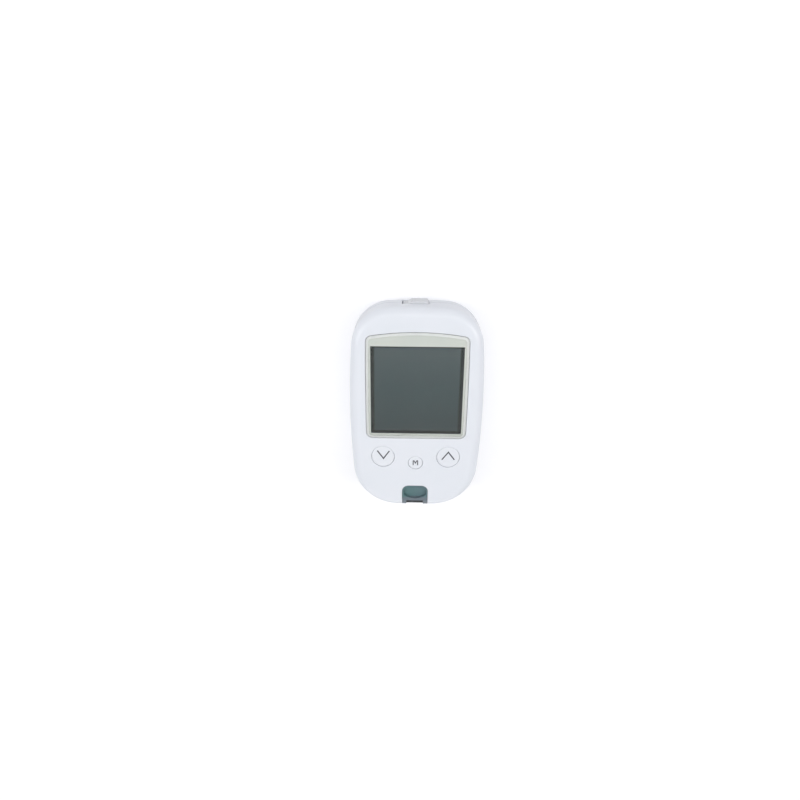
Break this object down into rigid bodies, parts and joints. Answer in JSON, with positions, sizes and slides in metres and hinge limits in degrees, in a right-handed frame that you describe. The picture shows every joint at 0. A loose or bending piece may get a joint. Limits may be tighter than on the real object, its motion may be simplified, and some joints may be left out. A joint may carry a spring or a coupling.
{
  "type": "blood glucose meter",
  "caption": "Pocket blood glucose meter: rounded white case, large display window, round keys, teal test strip port, hinged data port cover and a battery door on its back.",
  "frame": {"origin": "on the surface the meter rests on, under the middle of its box, lying on its back", "axes": "+Z out of the display, +Y towards the top end with the data port, -Y towards the end where the test strip goes in, +X to the right seen from the front"},
  "size_m": [0.0592, 0.0962, 0.0261],
  "materials": {
    "case_white": "smooth glossy white moulding, edges softly rounded",
    "clear_window": "clear polished acrylic with a bevelled edge",
    "window_print": "pale grey ink printed on the back of the window",
    "lcd_glass": "grey-green liquid crystal glass, display off",
    "reflector_white": "white diffusing plate",
    "holder_plastic": "fine-textured black moulding",
    "zebra_rubber": "silicone strip with layers of carbon",
    "board_green": "green solder mask over glass-fibre board",
    "part_black": "moulded epoxy and black housings",
    "switch_black": "satin black moulding",
    "plunger_plastic": "brown switch plunger",
    "key_white": "glossy white cap with a thin grey printed mark",
    "port_teal": "grey-teal translucent moulding, satin",
    "connector_black": "black glass-filled moulding",
    "contact_gold": "gold-plated spring metal",
    "steel_bright": "nickel-plated stamped metal",
    "cover_grey": "glossy pale grey moulding",
    "cell_sleeve": "plain satin sleeve over a metal can",
    "screw_steel": "zinc-plated steel with a cross recess"
  },
  "bodies": {
    "case": {"front_case": "case_white", "rear_case": "case_white", "display_lens": "clear_window", "lens_mask": "window_print", "lcd_panel": "lcd_glass", "lcd_reflector": "reflector_white", "lcd_frame": "holder_plastic", "zebra_strip": "zebra_rubber", "circuit_board": "board_green", "board_chips": "part_black", "buzzer": "part_black", "key_switches": "switch_black", "strip_port": "port_teal", "strip_connector": "connector_black", "strip_contacts": "contact_gold", "data_socket": "steel_bright", "socket_tongue": "connector_black", "cell_left": "cell_sleeve", "cell_right": "cell_sleeve", "battery_springs": "steel_bright", "battery_plates": "steel_bright", "case_screws": "screw_steel"},
    "down_key": {"key_down": "key_white", "plunger_down": "plunger_plastic"},
    "mode_key": {"key_m": "key_white", "plunger_m": "plunger_plastic"},
    "up_key": {"key_up": "key_white", "plunger_up": "plunger_plastic"},
    "door": {"battery_door": "case_white"},
    "cover": {"port_cover": "cover_grey"}
  },
  "joints": [
    {"name": "down_key_press", "type": "slide", "parent": "case", "child": "down_key", "axis": [0, 0, -1], "range_m": [0, 0.0006], "stiffness_N_per_m": 600, "springref_m": -0.001},
    {"name": "mode_key_press", "type": "slide", "parent": "case", "child": "mode_key", "axis": [0, 0, -1], "range_m": [0, 0.0006], "stiffness_N_per_m": 600, "springref_m": -0.001},
    {"name": "up_key_press", "type": "slide", "parent": "case", "child": "up_key", "axis": [0, 0, -1], "range_m": [0, 0.0006], "stiffness_N_per_m": 600, "springref_m": -0.001},
    {"name": "battery_door_hinge", "type": "hinge", "parent": "case", "child": "door", "pos_m": [0, 0.02635, 0.00115], "axis": [1, 0, 0], "range_deg": [0, 50]},
    {"name": "port_cover_hinge", "type": "hinge", "parent": "case", "child": "cover", "pos_m": [-0.0056, 0.04595, 0.01265], "axis": [0, 0, 1], "range_deg": [0, 90]}
  ]
}
